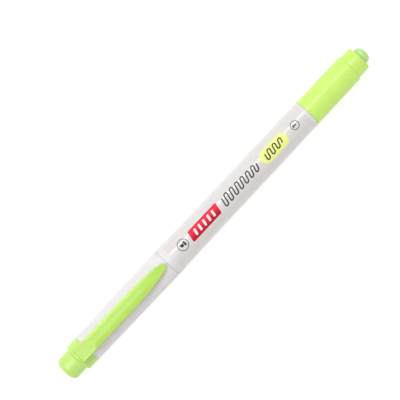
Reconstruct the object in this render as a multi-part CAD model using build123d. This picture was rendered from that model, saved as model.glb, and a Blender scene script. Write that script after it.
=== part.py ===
"""Double-ended highlighter with a chisel nib, a fine nib and two pull-off caps.

The pen lies along X with the fine nib at +X and the chisel nib at -X. Every piece is drawn by
its station, the distance in millimetres from the chisel cap's end face, and its radius from the
pen's axis. place() then moves it to the row frame, whose origin is under the pen's middle, on
the surface that it lies on. The clip is on top, at +Z.
"""

import os

from build123d import *

# Overall
LENGTH = 146.0
AXIS_HEIGHT = 5.58  # the widest radius, so that the pen lies on Z = 0
SLIP = 0.03  # gap on each side between pieces pressed together
SEAM = 0.05  # gap between each cap's mouth and the barrel's end
EDGE = 0.15  # rounding of a moulded edge
PAST = 1.0  # how far a cutting shape runs past what it cuts

# Stations of the joints between the pieces that show
CAP_RIM = 5.8  # chisel cap: knob meets rim
CAP_TUBE_START = 11.0  # chisel cap: collar meets frosted tube
CHISEL_MOUTH = 49.8  # chisel cap's mouth on the barrel's end
FILM_START = 52.5
FILM_END = 116.7
FINE_MOUTH = 118.0  # fine cap's mouth on the barrel's end
FINE_STEP = 138.6  # fine cap narrows here
FINE_SHELL_END = 143.3

# Radii, with the draft that each moulding has
KNOB_RADIUS = 4.38
KNOB_ROUNDING = 1.9
COLLAR_RADIUS = 5.25
CAP_TUBE_RADII = (5.3, 5.56)
BARREL_RADII = (5.52, 5.21)  # over the film, at its two ends
GRIP_START, GRIP_END, GRIP_RADIUS = 73.0, 97.0, 5.36  # straight middle of the barrel, over the film
CHISEL_BAND_RADIUS, FINE_BAND_RADIUS = AXIS_HEIGHT, 5.25
FINE_SHELL_RADII = (5.18, 5.07)
FINE_TIP_RADII = (4.7, 4.56)
BUTTON_RADIUS = 2.95
FILM = 0.06  # thickness of the pearl film on the barrel

# Chisel nib and the section that holds it
CHISEL_TIP = 19.8
CHISEL_WIDTH, CHISEL_THICKNESS, NIB_CORNER = 3.9, 2.5, 0.6
CHISEL_SLANT = 1.5  # how much shorter the nib is on its -Y side
CHISEL_NOSE_START, CHISEL_NOSE_END = 25.2, 30.0
CHISEL_NOSE_RADII = (2.7, 2.88)
CHISEL_SECTION_RADIUS = 4.68
CHISEL_SHOULDER = 31.9
CHISEL_BEAD = 45.6
CHISEL_SECTION_BACK = 60.5

# Fine nib and the section that holds it
FINE_TIP = 142.7
FINE_NIB_RADIUS = 1.22
FINE_NIB_OGIVE = 3.0
FINE_NOSE_START, FINE_NOSE_END = 133.2, 137.7
FINE_NOSE_RADII = (2.13, 2.0)
FINE_SECTION_RADIUS = 4.2
FINE_SHOULDER = 131.3
FINE_BEAD = 121.5
FINE_SECTION_BACK = 108.0

# Snap beads on the sections and the grooves in the caps that pass over them
BEAD_HEIGHT, BEAD_HALF, GROOVE_HALF = 0.12, 0.6, 0.7

# Ink reservoir
RESERVOIR_RADIUS = 3.7
SLEEVE = 0.1
RESERVOIR_START, RESERVOIR_END = 51.0, 116.4
NIB_BITE = 2.4  # how far each nib runs into the reservoir
RESERVOIR_BORE = RESERVOIR_RADIUS + SLEEVE + SLIP

# Clip
CLIP_START, CLIP_END = 7.35, 49.0
CLIP_HALF_WIDTH = 2.6
CLIP_KEY_END, CLIP_KEY_RADIUS = 10.7, 4.75
CLIP_TOP, CLIP_RAMP_END = 7.75, 14.9  # the flat ramp meets the blade's crown there
CLIP_START_TOP, CLIP_TIP_TOP = 6.6, 7.1
CLIP_UNDER = 6.3
CLIP_CROWN_DROP = 4.25  # how far below the pen's axis the blade's crown is centred
CLIP_BUMP = 45.2
CLIP_SLOT_START = 7.2


def turned(*corners):
    """Solid turned about the axis. Each corner is (station, radius) or (station, radius, rounding)."""
    points = [corner[:2] for corner in corners]
    roundings = [corner[2] if len(corner) > 2 else 0 for corner in corners]
    outline = FilletPolyline(*points, radius=roundings, close=True)
    return revolve(make_face(outline), Axis.X)


def along_axis(section, start, end):
    """Prism along the pen's axis of a section drawn in its Y and Z."""
    return extrude(Plane.YZ.offset(start) * section, end - start)


def between(radii, start, end, station):
    """Radius at a station of a moulding whose radius drifts from radii[0] to radii[1]."""
    share = (station - start) / (end - start)
    return radii[0] + share * (radii[1] - radii[0])


def spread(shape, count, first=0.0):
    """The shape repeated evenly round the axis."""
    return [Rot(X=first + i * 360 / count) * shape for i in range(count)]


def film_corners(raised=0.0):
    """Corners along the film's outside: a straight grip between two slight tapers."""
    return (
        (FILM_START, BARREL_RADII[0] + raised),
        (GRIP_START, GRIP_RADIUS + raised),
        (GRIP_END, GRIP_RADIUS + raised),
        (FILM_END, BARREL_RADII[1] + raised),
    )


# Barrel and what it holds

BARREL_BORE = (4.72, 4.42)
STOP_LENGTH = 0.8  # each section's stop flange, sunk into the barrel's end
CHISEL_STOP_RADIUS, FINE_STOP_RADIUS = 5.0, 4.7
RIB_COUNT, RIB_WIDTH = 6, 0.6
RIB_ROOT = 0.2  # how far each rib runs into the wall
RIB_GAP = 1.0  # from each end of the ribs to the section there


def barrel():
    """Frosted tube, open at both ends, with ribs inside that centre the reservoir."""
    tube = turned(
        (CHISEL_MOUTH, CHISEL_STOP_RADIUS + SLIP),
        (CHISEL_MOUTH, CHISEL_BAND_RADIUS, EDGE),
        (FILM_START, CHISEL_BAND_RADIUS, EDGE / 3),
        *film_corners(-FILM),
        (FILM_END, FINE_BAND_RADIUS, EDGE / 3),
        (FINE_MOUTH, FINE_BAND_RADIUS, EDGE),
        (FINE_MOUTH, FINE_STOP_RADIUS + SLIP),
        (FINE_MOUTH - STOP_LENGTH, FINE_STOP_RADIUS + SLIP),
        (FINE_MOUTH - STOP_LENGTH, BARREL_BORE[1]),
        (CHISEL_MOUTH + STOP_LENGTH, BARREL_BORE[0]),
        (CHISEL_MOUTH + STOP_LENGTH, CHISEL_STOP_RADIUS + SLIP),
    )
    rib_start, rib_end = CHISEL_SECTION_BACK + RIB_GAP, FINE_SECTION_BACK - RIB_GAP
    height = BARREL_BORE[0] + RIB_ROOT - RESERVOIR_BORE
    rib = Pos(0, RESERVOIR_BORE + height / 2) * Rectangle(RIB_WIDTH, height)
    return tube + spread(along_axis(rib, rib_start, rib_end), RIB_COUNT)


def barrel_film():
    """Pearl film on the barrel, which carries the printing."""
    return turned(*film_corners(), *reversed(film_corners(-FILM)))


def nib_bar(grown=0.0):
    """Cross-section of the chisel nib's felt, grown on all sides for the slot that it sits in."""
    width, thickness = CHISEL_WIDTH + 2 * grown, CHISEL_THICKNESS + 2 * grown
    return RectangleRounded(width, thickness, NIB_CORNER + grown)


def chisel_section():
    """White holder for the chisel nib: nose, shoulder, snap bead, stop flange and plug."""
    bore_end = RESERVOIR_START
    cavity_start, cavity_end, cavity = 37.0, 46.5, 3.3
    body = turned(
        (CHISEL_NOSE_START, 0),
        (CHISEL_NOSE_START, CHISEL_NOSE_RADII[0], 0.3),
        (CHISEL_NOSE_END, CHISEL_NOSE_RADII[1], 0.25),
        (CHISEL_NOSE_END, CHISEL_SECTION_RADIUS - 0.08, 1.3),
        (CHISEL_BEAD - BEAD_HALF, CHISEL_SECTION_RADIUS, 0.2),
        (CHISEL_BEAD, CHISEL_SECTION_RADIUS + BEAD_HEIGHT, 0.3),
        (CHISEL_BEAD + BEAD_HALF, CHISEL_SECTION_RADIUS, 0.2),
        (CHISEL_MOUTH, CHISEL_SECTION_RADIUS),
        (CHISEL_MOUTH, CHISEL_STOP_RADIUS),
        (CHISEL_MOUTH + STOP_LENGTH, CHISEL_STOP_RADIUS),
        (CHISEL_MOUTH + STOP_LENGTH, BARREL_BORE[0] - SLIP),
        (CHISEL_SECTION_BACK, 4.6, 0.25),
        (CHISEL_SECTION_BACK, RESERVOIR_BORE),
        (bore_end, RESERVOIR_BORE),
        (bore_end, 0),
    )
    body -= along_axis(Circle(cavity), cavity_start, cavity_end)
    body -= along_axis(nib_bar(SLIP), CHISEL_NOSE_START - PAST, bore_end + PAST)
    vent = Pos(0, CHISEL_THICKNESS / 2) * Circle(0.4)
    return body - spread(along_axis(vent, CHISEL_NOSE_START - PAST, bore_end + PAST), 2)


def fine_section():
    """White holder for the fine nib, shaped as the chisel one but slimmer."""
    bore_end = RESERVOIR_END
    cavity_start, cavity_end, cavity = 120.0, 130.0, 2.9
    body = turned(
        (bore_end, 0),
        (bore_end, RESERVOIR_BORE),
        (FINE_SECTION_BACK, RESERVOIR_BORE),
        (FINE_SECTION_BACK, 4.38, 0.2),
        (FINE_MOUTH - STOP_LENGTH, BARREL_BORE[1] - SLIP),
        (FINE_MOUTH - STOP_LENGTH, FINE_STOP_RADIUS),
        (FINE_MOUTH, FINE_STOP_RADIUS),
        (FINE_MOUTH, FINE_SECTION_RADIUS),
        (FINE_BEAD - BEAD_HALF, FINE_SECTION_RADIUS, 0.2),
        (FINE_BEAD, FINE_SECTION_RADIUS + BEAD_HEIGHT, 0.3),
        (FINE_BEAD + BEAD_HALF, FINE_SECTION_RADIUS, 0.2),
        (FINE_NOSE_START, FINE_SECTION_RADIUS - 0.06, 1.7),
        (FINE_NOSE_START, FINE_NOSE_RADII[0], 0.2),
        (FINE_NOSE_END, FINE_NOSE_RADII[1], 0.25),
        (FINE_NOSE_END, 0),
    )
    body -= along_axis(Circle(cavity), cavity_start, cavity_end)
    body -= along_axis(Circle(FINE_NIB_RADIUS + SLIP), bore_end - PAST, FINE_NOSE_END + PAST)
    vent = Pos(0, FINE_NIB_RADIUS) * Circle(0.3)
    return body - spread(along_axis(vent, bore_end - PAST, FINE_NOSE_END + PAST), 3)


def chisel_nib():
    """Felt bar cut on a slant, with both broad faces bevelled towards the writing edge."""
    back = RESERVOIR_START + NIB_BITE
    bar = along_axis(nib_bar(), CHISEL_TIP, back)
    half = CHISEL_WIDTH / 2
    slant = Polyline(
        (CHISEL_TIP, half), (CHISEL_TIP + CHISEL_SLANT, -half), (back, -half), (back, half), close=True
    )
    bar &= extrude(make_face(slant), CHISEL_THICKNESS, both=True)
    bevel_end, tip_half = CHISEL_TIP + 3.4, 0.55
    wedge = Polyline(
        (CHISEL_TIP, tip_half),
        (bevel_end, CHISEL_THICKNESS / 2),
        (back, CHISEL_THICKNESS / 2),
        (back, -CHISEL_THICKNESS / 2),
        (bevel_end, -CHISEL_THICKNESS / 2),
        (CHISEL_TIP, -tip_half),
        close=True,
    )
    return bar & extrude(Plane.XZ * make_face(wedge), CHISEL_WIDTH, both=True)


def fine_nib():
    """Felt rod with a rounded, elliptical point."""
    back = RESERVOIR_END - NIB_BITE
    ogive_start = FINE_TIP - FINE_NIB_OGIVE
    length = ogive_start - back
    rod = Pos(back + length / 2, FINE_NIB_RADIUS / 2) * Rectangle(length, FINE_NIB_RADIUS)
    point = Pos(ogive_start, 0) * Ellipse(FINE_NIB_OGIVE, FINE_NIB_RADIUS)
    point &= Pos(FINE_TIP, FINE_TIP) * Rectangle(2 * FINE_NIB_OGIVE, 2 * FINE_TIP)
    return revolve(rod + point, Axis.X)


def ink_reservoir():
    """Fibre rod that holds the ink, with a recess at each end where a nib runs in."""
    rod = along_axis(Circle(RESERVOIR_RADIUS), RESERVOIR_START, RESERVOIR_END)
    rod -= along_axis(nib_bar(), RESERVOIR_START - PAST, RESERVOIR_START + NIB_BITE)
    return rod - along_axis(Circle(FINE_NIB_RADIUS), RESERVOIR_END - NIB_BITE, RESERVOIR_END + PAST)


def reservoir_sleeve():
    """Plastic film wrapped round the fibre rod."""
    ring = Circle(RESERVOIR_RADIUS + SLEEVE) - Circle(RESERVOIR_RADIUS)
    return along_axis(ring, RESERVOIR_START, RESERVOIR_END)


# Chisel cap

CAP_TUBE_BORE = (4.78, 4.88)
CAP_NECK = (7.5, 4.5, 3.86)  # the tube's narrow end in the collar: station, outer and inner radius
CUP_STEM_RADIUS = 2.9
CUP_BORE, CUP_WALL = 3.02, 0.6
CUP_FLOOR, CUP_MOUTH = 17.6, 29.2


def cap_tube_radius(station):
    return between(CAP_TUBE_RADII, CAP_TUBE_START, CHISEL_MOUTH, station)


def chisel_cap_plug():
    """Green end plug: knob, rim, slotted collar round the tube's neck, and the core inside it."""
    knob_wall = 1.4
    neck_start, neck_radius, neck_bore = CAP_NECK
    plug = turned(
        (0, 0),
        (0, KNOB_RADIUS, KNOB_ROUNDING),
        (CAP_RIM, KNOB_RADIUS - 0.1, EDGE),
        (CAP_RIM + 0.65, COLLAR_RADIUS - 0.02, 0.35),
        (CAP_TUBE_START, COLLAR_RADIUS, 0.2),
        (CAP_TUBE_START, neck_radius + SLIP),
        (neck_start - SLIP, neck_radius + SLIP),
        (neck_start - SLIP, neck_bore - SLIP),
        (CAP_TUBE_START, neck_bore - SLIP, 0.1),
        (CAP_TUBE_START, CUP_STEM_RADIUS + SLIP),
        (knob_wall, CUP_STEM_RADIUS + SLIP, 0.4),
        (knob_wall, 0),
    )
    slot_width = 2 * (CLIP_HALF_WIDTH + 2 * SLIP)
    slot = Pos(0, COLLAR_RADIUS) * Rectangle(slot_width, COLLAR_RADIUS) - Circle(neck_radius + SLIP)
    return plug - along_axis(slot, CLIP_SLOT_START, CAP_TUBE_START + PAST)


def chisel_cap_tube():
    """Frosted tube with a narrow neck in the collar, and a groove that snaps on the section."""
    neck_start, neck_radius, neck_bore = CAP_NECK
    wall_start = CAP_TUBE_START + 0.8
    return turned(
        (neck_start, neck_bore),
        (neck_start, neck_radius, 0.1),
        (CAP_TUBE_START, neck_radius),
        (CAP_TUBE_START, CAP_TUBE_RADII[0], 0.2),
        (CHISEL_MOUTH - SEAM, CAP_TUBE_RADII[1], 0.15),
        (CHISEL_MOUTH - SEAM, CAP_TUBE_BORE[1] + 0.1),
        (CHISEL_MOUTH - 0.5, CAP_TUBE_BORE[1]),
        (CHISEL_BEAD + GROOVE_HALF, CAP_TUBE_BORE[1]),
        (CHISEL_BEAD, CAP_TUBE_BORE[1] + BEAD_HEIGHT, 0.3),
        (CHISEL_BEAD - GROOVE_HALF, CAP_TUBE_BORE[1]),
        (32.0, CAP_TUBE_BORE[1] - 0.02),
        (31.0, CAP_TUBE_BORE[0]),
        (wall_start, CAP_TUBE_BORE[0]),
        (wall_start, neck_bore),
    )


def chisel_cap_inner_cup():
    """White cup that seals round the nose, held by a hollow stem in the plug."""
    cup_radius = CUP_BORE + CUP_WALL
    stem_start, stem_bore, floor = 3.0, 2.2, 0.8
    cup = turned(
        (stem_start, stem_bore),
        (stem_start, CUP_STEM_RADIUS, 0.2),
        (CAP_TUBE_START, CUP_STEM_RADIUS),
        (CAP_TUBE_START, cup_radius, 0.15),
        (CUP_MOUTH, cup_radius - 0.1, 0.15),
        (CUP_MOUTH, CUP_BORE + 0.12),
        (CUP_MOUTH - 0.5, CUP_BORE),
        (CUP_FLOOR, CUP_BORE, 0.3),
        (CUP_FLOOR, 0),
        (CUP_FLOOR - floor, 0),
        (CUP_FLOOR - floor, stem_bore),
    )
    fin_start, fin_end, fin_width = 13.0, 27.0, 0.7
    fin_top = CAP_TUBE_BORE[0] - SLIP
    fin_height = fin_top - CUP_BORE - CUP_WALL / 3
    fin = Pos(0, fin_top - fin_height / 2) * Rectangle(fin_width, fin_height)
    return cup + spread(along_axis(fin, fin_start, fin_end), 4, first=45)


def clip():
    """Green spring clip: key in the collar's slot, flat ramp, crowned blade and bump."""
    bump_radius = cap_tube_radius(CLIP_BUMP) + 0.08
    bump_half = 1.9
    side_view = (
        (CLIP_START, CLIP_KEY_RADIUS, 0.1),
        (CLIP_START, CLIP_TOP),
        (38.0, CLIP_TOP - 0.1, 20.0),
        (CLIP_END, CLIP_TIP_TOP, 0.3),
        (CLIP_END, CLIP_UNDER + 0.1, 0.2),
        (CLIP_BUMP + bump_half, CLIP_UNDER, 0.5),
        (CLIP_BUMP, bump_radius, 0.7),
        (CLIP_BUMP - bump_half, CLIP_UNDER, 0.5),
        (CLIP_KEY_END, CLIP_UNDER, 0.3),
        (CLIP_KEY_END, CLIP_KEY_RADIUS, 0.1),
    )
    raised = ((x, radius + CLIP_CROWN_DROP, *rounding) for x, radius, *rounding in side_view)
    crowned = Pos(0, 0, -CLIP_CROWN_DROP) * turned(*raised)

    slope = (CLIP_TOP - CLIP_START_TOP) / (CLIP_RAMP_END - CLIP_START)
    ramp_run = 2 * (CLIP_RAMP_END - CLIP_START)
    ramp = FilletPolyline(
        (CLIP_START, 0),
        (CLIP_START, CLIP_START_TOP),
        (CLIP_START + ramp_run, CLIP_START_TOP + slope * ramp_run),
        (CLIP_END + PAST, CLIP_START_TOP + slope * ramp_run),
        (CLIP_END + PAST, 0),
        radius=[0, 0.35, 0, 0, 0],
        close=True,
    )
    half = CLIP_HALF_WIDTH
    taper = ((34.0, half), (39.4, 2.37), (44.4, 1.87), (47.0, 1.42), (CLIP_END, 0))
    side = Line((CLIP_START - PAST, half), taper[0])
    upper = side + Spline(*taper, tangents=((1, 0), (0, -1)))
    back = Line((CLIP_START - PAST, half), (CLIP_START - PAST, -half))
    outline = upper + mirror(upper, Plane.XZ) + back
    blade = crowned & extrude(make_face(outline), CLIP_TOP + PAST)
    return blade & extrude(Plane.XZ * make_face(ramp), 2 * half, both=True)


# Fine cap

FINE_CAP_BORE = 4.37
FINE_CUP_BORE, FINE_CUP_WALL = 2.2, 0.55
FINE_CUP_MOUTH, FINE_CUP_END = 134.2, 141.0
STEM_RADIUS, STEM_START, STEM_BORE = 2.3, 139.8, 1.62


def fine_cap_shell():
    """Green cap body: wide tube, step, narrower end with a hole for the end plug."""
    wide_end, narrow_bore = FINE_STEP - 0.8, 3.7
    end_wall = 0.9
    return turned(
        (FINE_MOUTH + SEAM, FINE_CAP_BORE + 0.1),
        (FINE_MOUTH + SEAM, FINE_SHELL_RADII[0], 0.15),
        (FINE_STEP, FINE_SHELL_RADII[1], 0.35),
        (FINE_STEP, FINE_TIP_RADII[0] - 0.1, 0.1),
        (FINE_STEP + 0.3, FINE_TIP_RADII[0], 0.1),
        (FINE_SHELL_END, FINE_TIP_RADII[1], 0.55),
        (FINE_SHELL_END, STEM_RADIUS + SLIP),
        (FINE_SHELL_END - end_wall, STEM_RADIUS + SLIP),
        (FINE_SHELL_END - end_wall, narrow_bore, 0.3),
        (wide_end, narrow_bore),
        (wide_end, FINE_CAP_BORE - 0.04, 0.3),
        (FINE_BEAD + GROOVE_HALF, FINE_CAP_BORE),
        (FINE_BEAD, FINE_CAP_BORE + BEAD_HEIGHT, 0.3),
        (FINE_BEAD - GROOVE_HALF, FINE_CAP_BORE),
        (FINE_MOUTH + 0.5, FINE_CAP_BORE),
    )


def fine_cap_inner_cup():
    """White cup that seals round the fine nose, pressed into the cap's narrow end."""
    cup_radius = FINE_CUP_BORE + FINE_CUP_WALL
    seat_start, seat_end, seat_radius = 138.2, 139.4, 3.7 - SLIP
    return turned(
        (FINE_CUP_MOUTH, FINE_CUP_BORE + 0.1),
        (FINE_CUP_MOUTH, cup_radius - 0.08, 0.12),
        (seat_start, cup_radius),
        (seat_start, seat_radius, 0.15),
        (seat_end, seat_radius, 0.15),
        (seat_end, cup_radius + 0.25),
        (FINE_CUP_END, cup_radius + 0.25, 0.12),
        (FINE_CUP_END, STEM_RADIUS + SLIP),
        (STEM_START - 0.1, STEM_RADIUS + SLIP),
        (STEM_START - 0.1, FINE_CUP_BORE),
        (FINE_CUP_MOUTH + 0.5, FINE_CUP_BORE),
    )


def fine_cap_plug():
    """Green end plug with a rounded button, hollow so that the nib's point has room."""
    neck, neck_radius = FINE_SHELL_END + 0.3, BUTTON_RADIUS - 0.3
    roof = LENGTH - 1.6
    return turned(
        (STEM_START, STEM_BORE),
        (STEM_START, STEM_RADIUS, 0.15),
        (FINE_SHELL_END, STEM_RADIUS),
        (FINE_SHELL_END, neck_radius),
        (neck, neck_radius),
        (neck, BUTTON_RADIUS, 0.1),
        (LENGTH, BUTTON_RADIUS - 0.1, 1.9),
        (LENGTH, 0),
        (roof, 0),
        (roof, STEM_BORE, 0.4),
    )


def place(shape):
    """Moves a piece from its stations to the row frame."""
    return Pos(-LENGTH / 2, 0, AXIS_HEIGHT) * shape


PIECES = (
    barrel,
    barrel_film,
    chisel_section,
    fine_section,
    chisel_nib,
    fine_nib,
    ink_reservoir,
    reservoir_sleeve,
    chisel_cap_tube,
    chisel_cap_plug,
    chisel_cap_inner_cup,
    clip,
    fine_cap_shell,
    fine_cap_inner_cup,
    fine_cap_plug,
)

os.makedirs("parts", exist_ok=True)
for piece in PIECES:
    export_step(place(piece()), f"parts/{piece.__name__}.step")
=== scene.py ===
"""Looks, lights and camera for the double-ended highlighter. Lengths are in metres."""

from math import atan2, cos, degrees, hypot, pi, radians, sin

import bmesh
import bpy
from mathutils import Matrix, Vector


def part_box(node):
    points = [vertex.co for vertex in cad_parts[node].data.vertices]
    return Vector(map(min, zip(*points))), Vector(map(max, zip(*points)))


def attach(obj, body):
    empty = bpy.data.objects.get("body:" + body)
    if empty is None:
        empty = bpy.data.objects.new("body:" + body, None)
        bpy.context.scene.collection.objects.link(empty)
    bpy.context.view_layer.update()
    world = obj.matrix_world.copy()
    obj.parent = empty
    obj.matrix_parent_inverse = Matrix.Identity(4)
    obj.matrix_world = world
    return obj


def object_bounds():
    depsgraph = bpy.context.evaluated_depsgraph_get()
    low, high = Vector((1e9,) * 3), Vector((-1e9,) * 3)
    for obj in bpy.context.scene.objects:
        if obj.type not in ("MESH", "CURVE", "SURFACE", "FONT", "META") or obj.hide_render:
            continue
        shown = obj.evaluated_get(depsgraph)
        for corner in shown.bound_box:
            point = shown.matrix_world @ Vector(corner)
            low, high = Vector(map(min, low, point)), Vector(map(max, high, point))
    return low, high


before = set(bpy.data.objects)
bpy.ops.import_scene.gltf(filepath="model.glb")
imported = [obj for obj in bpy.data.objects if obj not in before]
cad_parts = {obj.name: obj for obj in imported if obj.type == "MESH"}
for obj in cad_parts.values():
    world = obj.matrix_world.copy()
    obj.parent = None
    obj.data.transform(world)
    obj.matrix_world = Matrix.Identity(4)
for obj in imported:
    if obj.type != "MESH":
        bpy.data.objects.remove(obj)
cad_low, cad_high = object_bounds()

MM = 0.001
END = cad_low[0]  # the chisel cap's end face, where stations start
film_low, film_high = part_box("barrel_film")
AXIS = (film_low[2] + film_high[2]) / 2  # height of the pen's axis


def station(millimetres):
    """X of a place this far along the pen from the chisel cap's end."""
    return END + millimetres * MM


def radius_at(node, x):
    """Outer radius of a turned node at an X where its outline has a corner."""
    vertices = [v.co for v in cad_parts[node].data.vertices if abs(v.co.x - x) < 0.1 * MM]
    return max(hypot(v.y, v.z - AXIS) for v in vertices)


GRIP_START, GRIP_END = station(73), station(97)  # the barrel's straight middle
FILM_CORNERS = film_low[0], GRIP_START, GRIP_END, film_high[0]
FILM_RADII = [radius_at("barrel_film", x) for x in FILM_CORNERS]


def film_radius(x):
    """Radius of the barrel's film at an X."""
    corners = list(zip(FILM_CORNERS, FILM_RADII))
    for (start, first), (end, last) in zip(corners, corners[1:]):
        if x <= end:
            return first + (last - first) * (x - start) / (end - start)


# Materials


class Nodes:
    """Builds one material's nodes."""

    def __init__(self, name, **settings):
        self.material = bpy.data.materials.new(name)
        self.material.use_nodes = True
        self.tree = self.material.node_tree
        self.shader = self.tree.nodes["Principled BSDF"]
        for socket, value in settings.items():
            self.shader.inputs[socket.replace("_", " ")].default_value = value

    def link(self, output, node_input):
        self.tree.links.new(output, node_input)

    def place(self, stretch=(1, 1, 1)):
        """Object coordinates in millimetres, squeezed along each axis by stretch."""
        coordinates = self.tree.nodes.new("ShaderNodeTexCoord")
        mapping = self.tree.nodes.new("ShaderNodeMapping")
        mapping.inputs["Scale"].default_value = [s / MM for s in stretch]
        self.link(coordinates.outputs["Object"], mapping.inputs["Vector"])
        return mapping.outputs["Vector"]

    def noise(self, scale, stretch=(1, 1, 1), detail=3.0, roughness=0.5):
        texture = self.tree.nodes.new("ShaderNodeTexNoise")
        texture.inputs["Scale"].default_value = scale
        texture.inputs["Detail"].default_value = detail
        texture.inputs["Roughness"].default_value = roughness
        self.link(self.place(stretch), texture.inputs["Vector"])
        return texture.outputs["Fac"]

    def cells(self, scale):
        texture = self.tree.nodes.new("ShaderNodeTexVoronoi")
        texture.inputs["Scale"].default_value = scale
        self.link(self.place(), texture.inputs["Vector"])
        return texture.outputs["Color"]

    def ramp(self, factor, *stops):
        """Colours at the places of a 0 to 1 factor. Each stop is (place, colour)."""
        node = self.tree.nodes.new("ShaderNodeValToRGB")
        elements = node.color_ramp.elements
        while len(elements) < len(stops):
            elements.new(0.5)
        for element, (position, colour) in zip(elements, stops):
            element.position = position
            element.color = (*colour, 1)
        self.link(factor, node.inputs["Fac"])
        return node.outputs["Color"]

    def spread(self, factor, low, high):
        """A 0 to 1 factor spread between two numbers."""
        node = self.tree.nodes.new("ShaderNodeMapRange")
        node.inputs["From Min"].default_value = 0.3
        node.inputs["From Max"].default_value = 0.7
        node.inputs["To Min"].default_value = low
        node.inputs["To Max"].default_value = high
        self.link(factor, node.inputs["Value"])
        return node.outputs["Result"]

    def bump(self, height, strength, depth):
        node = self.tree.nodes.new("ShaderNodeBump")
        node.inputs["Strength"].default_value = strength
        node.inputs["Distance"].default_value = depth
        self.link(height, node.inputs["Height"])
        self.link(node.outputs["Normal"], self.shader.inputs["Normal"])


GLOSS_SPREAD = 0.03


def moulded(name, colour, roughness, mottle=0.03, **settings):
    """Moulded plastic: faint flow mottling, uneven gloss and a very fine grain.

    Each roughness band lies wholly below or above 0.274, because the render shows specks where one
    crosses it.
    """
    nodes = Nodes(name, **settings)
    flow = nodes.noise(0.35, stretch=(0.4, 1, 1))
    darker = [channel * (1 - mottle) for channel in colour]
    lighter = [min(1, channel * (1 + mottle)) for channel in colour]
    nodes.link(nodes.ramp(flow, (0.35, darker), (0.65, lighter)), nodes.shader.inputs["Base Color"])
    gloss = nodes.spread(nodes.noise(0.8), roughness - GLOSS_SPREAD, roughness + GLOSS_SPREAD)
    nodes.link(gloss, nodes.shader.inputs["Roughness"])
    nodes.bump(nodes.noise(9, detail=2), 0.15, 0.02 * MM)
    return nodes.material


def pearl():
    """Pearl lacquer: small flakes that vary between warm and cool white under a clear coat."""
    nodes = Nodes(
        "pearl", Coat_Weight=1.0, Coat_Roughness=0.12, Subsurface_Weight=0.1,
        Subsurface_Scale=0.4 * MM,
    )
    flakes = nodes.cells(7)
    warm, cool = (0.76, 0.70, 0.68), (0.79, 0.76, 0.75)
    nodes.link(nodes.ramp(flakes, (0.2, warm), (0.8, cool)), nodes.shader.inputs["Base Color"])
    nodes.link(nodes.spread(flakes, 0.34, 0.42), nodes.shader.inputs["Roughness"])
    nodes.bump(nodes.noise(6, detail=2), 0.1, 0.01 * MM)
    return nodes.material


def frosted(name, colour, roughness, transmission):
    """Frosted polypropylene: milky, with a fine eroded grain on its surface."""
    nodes = Nodes(
        name, IOR=1.49, Transmission_Weight=transmission, Subsurface_Weight=0.25,
        Subsurface_Scale=0.6 * MM,
    )
    cloud = nodes.noise(0.5)
    lighter = [min(1, channel * 1.03) for channel in colour]
    nodes.link(nodes.ramp(cloud, (0.35, colour), (0.65, lighter)), nodes.shader.inputs["Base Color"])
    grain = nodes.noise(14, detail=4)
    gloss = nodes.spread(grain, roughness - 0.04, roughness + 0.06)
    nodes.link(gloss, nodes.shader.inputs["Roughness"])
    nodes.bump(grain, 0.25, 0.02 * MM)
    return nodes.material


def felt(name, dark, light):
    """Pressed fibres that run along the pen, wet with ink."""
    nodes = Nodes(name, Sheen_Weight=0.25, Subsurface_Weight=0.2, Subsurface_Scale=0.5 * MM)
    fibres = nodes.noise(5, stretch=(0.12, 1, 1), detail=5, roughness=0.65)
    nodes.link(nodes.ramp(fibres, (0.3, dark), (0.7, light)), nodes.shader.inputs["Base Color"])
    nodes.link(nodes.spread(fibres, 0.55, 0.8), nodes.shader.inputs["Roughness"])
    nodes.bump(fibres, 0.6, 0.06 * MM)
    return nodes.material


def ink(name, colour, roughness=0.4, **settings):
    """Printing ink: slightly uneven cover with the lacquer's gloss."""
    nodes = Nodes(name, Specular_IOR_Level=0.25, **settings)
    cover = nodes.noise(6, detail=4)
    lighter = [min(1, channel + 0.02) for channel in colour]
    nodes.link(nodes.ramp(cover, (0.35, colour), (0.7, lighter)), nodes.shader.inputs["Base Color"])
    gloss = nodes.spread(cover, roughness - 0.04, roughness + 0.04)
    nodes.link(gloss, nodes.shader.inputs["Roughness"])
    return nodes.material


LIME = (0.645, 0.96, 0.18)
PLUG_GREEN = (0.57, 0.84, 0.20)
CLIP_GREEN = (0.48, 0.78, 0.10)
BUTTON_GREEN = (0.64, 0.93, 0.35)
GREEN_DEPTH = {"Subsurface_Weight": 0.2, "Subsurface_Scale": 1.0 * MM}
fine_cap_green = moulded("fine_cap_green", LIME, 0.32, Coat_Weight=0.15, **GREEN_DEPTH)
plug_green = moulded("plug_green", PLUG_GREEN, 0.32, Coat_Weight=0.15, **GREEN_DEPTH)
clip_green = moulded("clip_green", CLIP_GREEN, 0.24, **GREEN_DEPTH)
button_green = moulded("button_green", BUTTON_GREEN, 0.35, Transmission_Weight=0.1, **GREEN_DEPTH)
WHITE = (0.84, 0.84, 0.87)
WHITE_DEPTH = {"Subsurface_Weight": 0.15, "Subsurface_Scale": 0.8 * MM}
white = moulded("white", WHITE, 0.38, 0.01, **WHITE_DEPTH)
clear_film = moulded("clear_film", (0.9, 0.9, 0.92), 0.15, 0.01, Transmission_Weight=0.8)
nib_felt = felt("nib_felt", (0.45, 0.85, 0.01), (0.66, 1.0, 0.02))
fibre = felt("fibre", (0.6, 0.85, 0.1), (0.8, 1.0, 0.25))
frosted_cap = frosted("frosted_cap", (0.94, 0.90, 0.90), 0.42, 0.15)
frosted_barrel = frosted("frosted_barrel", (0.92, 0.88, 0.89), 0.38, 0.15)

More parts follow.
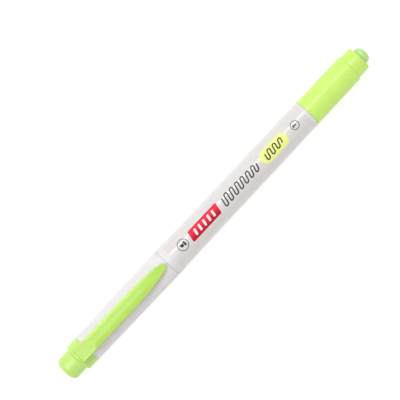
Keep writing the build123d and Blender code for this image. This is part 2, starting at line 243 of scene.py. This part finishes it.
NODE_MATERIALS = {
    "barrel": frosted_barrel,
    "barrel_film": pearl(),
    "chisel_section": white,
    "fine_section": white,
    "chisel_nib": nib_felt,
    "fine_nib": nib_felt,
    "ink_reservoir": fibre,
    "reservoir_sleeve": clear_film,
    "chisel_cap_tube": frosted_cap,
    "chisel_cap_plug": plug_green,
    "chisel_cap_inner_cup": white,
    "clip": clip_green,
    "fine_cap_shell": fine_cap_green,
    "fine_cap_inner_cup": white,
    "fine_cap_plug": button_green,
}
for node, material in NODE_MATERIALS.items():
    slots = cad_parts[node].data.materials
    slots.clear()
    slots.append(material)

# Printing on the barrel. Outlines are drawn flat, in millimetres: x along the pen from the
# chisel cap's end, y round the barrel from its top line towards +Y. They are then wrapped.

PRINT_LIFT = 0.012 * MM
PRINT_DEPTH = 0.02 * MM
STRIP = 0.25  # widest flat strip of a wrapped print
CORNER_STEPS = 6


def arc(centre, radius, start, end, count=24):
    angles = [radians(start + (end - start) * i / count) for i in range(count + 1)]
    return [(centre[0] + radius * cos(a), centre[1] + radius * sin(a)) for a in angles]


def ring(centre, radius, width):
    """Closed band: an outer circle and the inner one that makes its hole."""
    return [arc(centre, radius, 0, 352.5, 47), arc(centre, radius - width, 0, 352.5, 47)]


def rounded(corners, radius):
    """Outline of a convex polygon with rounded corners, given anticlockwise."""
    points = []
    count = len(corners)
    for i, corner in enumerate(corners):
        here = Vector(corner)
        back = (Vector(corners[i - 1]) - here).normalized()
        on = (Vector(corners[(i + 1) % count]) - here).normalized()
        half = back.angle(on) / 2
        centre = here + (back + on).normalized() * radius / sin(half)
        turn = 90 - degrees(half)
        middle = (here - centre).to_3d().normalized()
        for k in range(CORNER_STEPS + 1):
            swing = radians(turn * (2 * k / CORNER_STEPS - 1))
            spoke = (Matrix.Rotation(swing, 3, "Z") @ middle).to_2d()
            points.append(tuple(centre + spoke * radius))
    return points


def stroke(points, width):
    """Outline of a line of even width with round ends, through points that turn gently."""
    path = [Vector(p) for p in points]
    left, right = [], []
    for i, here in enumerate(path):
        along = (path[min(i + 1, len(path) - 1)] - path[max(i - 1, 0)]).normalized()
        across = Vector((-along.y, along.x)) * width / 2
        left.append(tuple(here + across))
        right.append(tuple(here - across))
        heading = degrees(atan2(along.y, along.x))
        if i == 0:
            first = arc(here, width / 2, heading + 270, heading + 90, 8)[1:-1]
    last = arc(here, width / 2, heading + 90, heading - 90, 8)[1:-1]
    return left + last + right[::-1] + first


def wrap(name, outlines, material, lift=PRINT_LIFT):
    """Thin print of a flat outline, with any holes after it, bent round the barrel."""
    curve = bpy.data.curves.new(name, "CURVE")
    curve.dimensions = "2D"
    curve.fill_mode = "BOTH"
    for outline in outlines:
        spline = curve.splines.new("POLY")
        spline.points.add(len(outline) - 1)
        for point, (x, y) in zip(spline.points, outline):
            point.co = (x, y, 0, 1)
        spline.use_cyclic_u = True
    source = bpy.data.objects.new(name, curve)
    mesh = bpy.data.meshes.new_from_object(source)
    bpy.data.objects.remove(source)
    shape = bmesh.new()
    shape.from_mesh(mesh)
    low = min(v.co.y for v in shape.verts)
    high = max(v.co.y for v in shape.verts)
    level = low + STRIP
    while level < high:
        everything = shape.verts[:] + shape.edges[:] + shape.faces[:]
        bmesh.ops.bisect_plane(shape, geom=everything, plane_co=(0, level, 0), plane_no=(0, 1, 0))
        level += STRIP
    bmesh.ops.remove_doubles(shape, verts=shape.verts, dist=1e-4)
    extruded = bmesh.ops.extrude_face_region(shape, geom=shape.faces[:])
    raised = {v for v in extruded["geom"] if isinstance(v, bmesh.types.BMVert)}
    for vertex in shape.verts:
        x = station(vertex.co.x)
        radius = film_radius(x) + (lift if vertex in raised else lift - PRINT_DEPTH)
        angle = vertex.co.y * MM / film_radius(x)
        vertex.co = (x, radius * sin(angle), AXIS + radius * cos(angle))
    bmesh.ops.recalc_face_normals(shape, faces=shape.faces)
    shape.to_mesh(mesh)
    shape.free()
    mesh.materials.clear()
    mesh.materials.append(material)
    piece = bpy.data.objects.new(name, mesh)
    bpy.context.scene.collection.objects.link(piece)
    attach(piece, "pen")


red_ink = ink("red_ink", (0.64, 0.004, 0.03), 0.36, Metallic=0.4)
dark_ink = ink("dark_ink", (0.035, 0.03, 0.03))
yellow_ink = ink("yellow_ink", (0.88, 0.95, 0.28))
white_ink = ink("white_ink", (0.86, 0.84, 0.84))


def meander(start, end, legs, height, fade, lean, count=8):
    """Line that runs up and down between two places along the barrel in even, leaning legs.

    Its height shrinks by the share fade from one end to the other.
    """
    spacing = (end - start) / (legs - 1)
    bend = spacing / 2
    points = []
    for leg in range(legs):
        up = 1 if leg % 2 else -1
        x = start + leg * spacing
        reach = height / 2 - bend
        points += [(x, -up * reach), (x, 0), (x, up * reach)]
        if leg < legs - 1:
            turns = [pi * (1 - k / count) for k in range(1, count)]
            points += [(x + bend + bend * cos(a), up * (reach + bend * sin(a))) for a in turns]
    shrink = [1 - fade * (x - start) / (end - start) for x, y in points]
    return [(x + lean * y, y * share) for (x, y), share in zip(points, shrink)]


def bar(centre, start, end, half):
    """Upright bar between two places along the barrel, measured from a mark's centre."""
    x, y = centre
    return [(x + start, y - half), (x + end, y - half), (x + end, y + half), (x + start, y + half)]


def leaning(start, end, half, lean):
    """Bar whose upper edge is shifted towards the fine nib."""
    return [(start, -half), (end - lean, -half), (end, half), (start + lean, half)]


# Circle with a small chisel nib in it
CHISEL_MARK = (57.8, 0.12)
wrap("print_chisel_ring", ring(CHISEL_MARK, radius=2.05, width=0.23), dark_ink)
x, y = CHISEL_MARK
nib = [(-1.0, -0.25), (-0.5, -0.6), (0.2, -0.6), (0.2, 0.6), (-1.2, 0.6)]
wrap("print_chisel_mark", [[(x + dx, y + dy) for dx, dy in nib]], dark_ink)
wrap("print_chisel_stem", [bar(CHISEL_MARK, start=0.4, end=1.15, half=0.85)], dark_ink)

# Leaning red block with five plain slashes
LEAN = 0.9
SLASHES, SLASH_START, SLASH_PITCH, SLASH_WIDTH = 5, 63.2, 2.1, 0.85
block = leaning(start=60.9, end=75.2, half=2.0, lean=LEAN)
wrap("print_block", [rounded(block, radius=0.35)], red_ink)
for i in range(SLASHES):
    left = SLASH_START + SLASH_PITCH * i
    slash = leaning(left, left + SLASH_WIDTH + LEAN / 2, half=1.1, lean=LEAN / 2)
    wrap(f"print_slash_{i}", [rounded(slash, radius=0.15)], white_ink, 2 * PRINT_LIFT)

# Scribble
PEN_LINE = 0.47
scribble = meander(start=77.3, end=93.6, legs=14, height=3.6, fade=0.3, lean=0.25)
wrap("print_scribble", [stroke(scribble, PEN_LINE)], dark_ink)

# Highlighted stroke with a short wave on it
highlight = arc((98.1, 0), 2.5, 90, 270) + arc((105.1, 0), 2.5, -90, 90)
wrap("print_highlight", [highlight], yellow_ink)
wave = meander(start=97.8, end=105.2, legs=7, height=2.8, fade=0.2, lean=0.25)
wrap("print_wave", [stroke(wave, PEN_LINE)], dark_ink, 2 * PRINT_LIFT)

# Circle with a small fine nib in it
FINE_MARK = (111.85, 0.2)
wrap("print_fine_ring", ring(FINE_MARK, radius=1.6, width=0.22), dark_ink)
x, y = FINE_MARK
tip = arc((x + 0.35, y), 0.22, -70, 70, 8)
wrap("print_fine_mark", [[(x - 0.5, y + 0.3), (x - 0.5, y - 0.3), *tip]], dark_ink)
wrap("print_fine_stem", [bar(FINE_MARK, start=-0.95, end=-0.6, half=0.5)], dark_ink)

# Floor, lights and camera


def softbox(name, tilt, turn, distance, size, power, colour=(1, 1, 1)):
    """Area light aimed at the pen. tilt is its angle from straight up; turn 0 puts it over +Y."""
    light = bpy.data.lights.new(name, "AREA")
    light.shape = "RECTANGLE"
    light.size, light.size_y = size
    light.energy = power
    light.color = colour
    lamp = bpy.data.objects.new(name, light)
    bpy.context.scene.collection.objects.link(lamp)
    lean, swing = radians(tilt), radians(turn)
    away = Vector((-sin(lean) * sin(swing), sin(lean) * cos(swing), cos(lean)))
    lamp.location = Vector((0, 0, AXIS)) + away * distance
    lamp.rotation_euler = away.to_track_quat("Z", "Y").to_euler()


bpy.ops.mesh.primitive_plane_add(size=6, location=(0, 0, 0))
floor = bpy.context.object
floor.name = "floor"
floor_nodes = Nodes("floor", Roughness=0.9)
FLOOR_DARK, FLOOR_LIGHT = (0.27, 0.27, 0.27), (0.29, 0.29, 0.29)
floor_tone = floor_nodes.ramp(floor_nodes.noise(0.01), (0.4, FLOOR_DARK), (0.6, FLOOR_LIGHT))
floor_nodes.link(floor_tone, floor_nodes.shader.inputs["Base Color"])
floor_nodes.shader.inputs["Emission Color"].default_value = (1, 1, 1, 1)
floor_nodes.shader.inputs["Emission Strength"].default_value = 0.8
floor.data.materials.append(floor_nodes.material)

world = bpy.data.worlds.new("studio")
world.use_nodes = True
background = world.node_tree.nodes["Background"]
background.inputs["Color"].default_value = (1, 0.97, 0.95, 1)
background.inputs["Strength"].default_value = 0.5
bpy.context.scene.world = world

COOL = (0.96, 0.98, 1.0)
softbox("key", tilt=23, turn=0, distance=0.9, size=(0.9, 0.12), power=3.5, colour=COOL)
softbox("side", tilt=62, turn=0, distance=1.1, size=(1.0, 0.6), power=0.9, colour=COOL)
softbox("end", tilt=19, turn=90, distance=1.0, size=(0.25, 0.6), power=1.9)

ROLL = 46.9  # the pen runs up to the right at this angle
LEAN_OVER = 2.4  # the camera stands this far round the pen's axis from straight above, towards -Y
VIEW_WIDTH = 133.3 * MM
LENS = 150
SENSOR = 36
PEN_RIGHT, PEN_DOWN = 5.03 * MM, 3.94 * MM  # where the pen's middle lies in the view

camera_data = bpy.data.cameras.new("camera")
camera_data.lens = LENS
camera_data.sensor_width = SENSOR
camera_data.clip_start = 0.01
camera = bpy.data.objects.new("camera", camera_data)
bpy.context.scene.collection.objects.link(camera)
place = Matrix.Rotation(radians(LEAN_OVER), 4, "X") @ Matrix.Rotation(radians(-ROLL), 4, "Z")
middle = Vector((-PEN_RIGHT, PEN_DOWN, VIEW_WIDTH * LENS / SENSOR))
camera.matrix_world = Matrix.Translation((0, 0, AXIS)) @ place @ Matrix.Translation(middle)
bpy.context.scene.camera = camera

bpy.context.scene.view_settings.view_transform = "Standard"
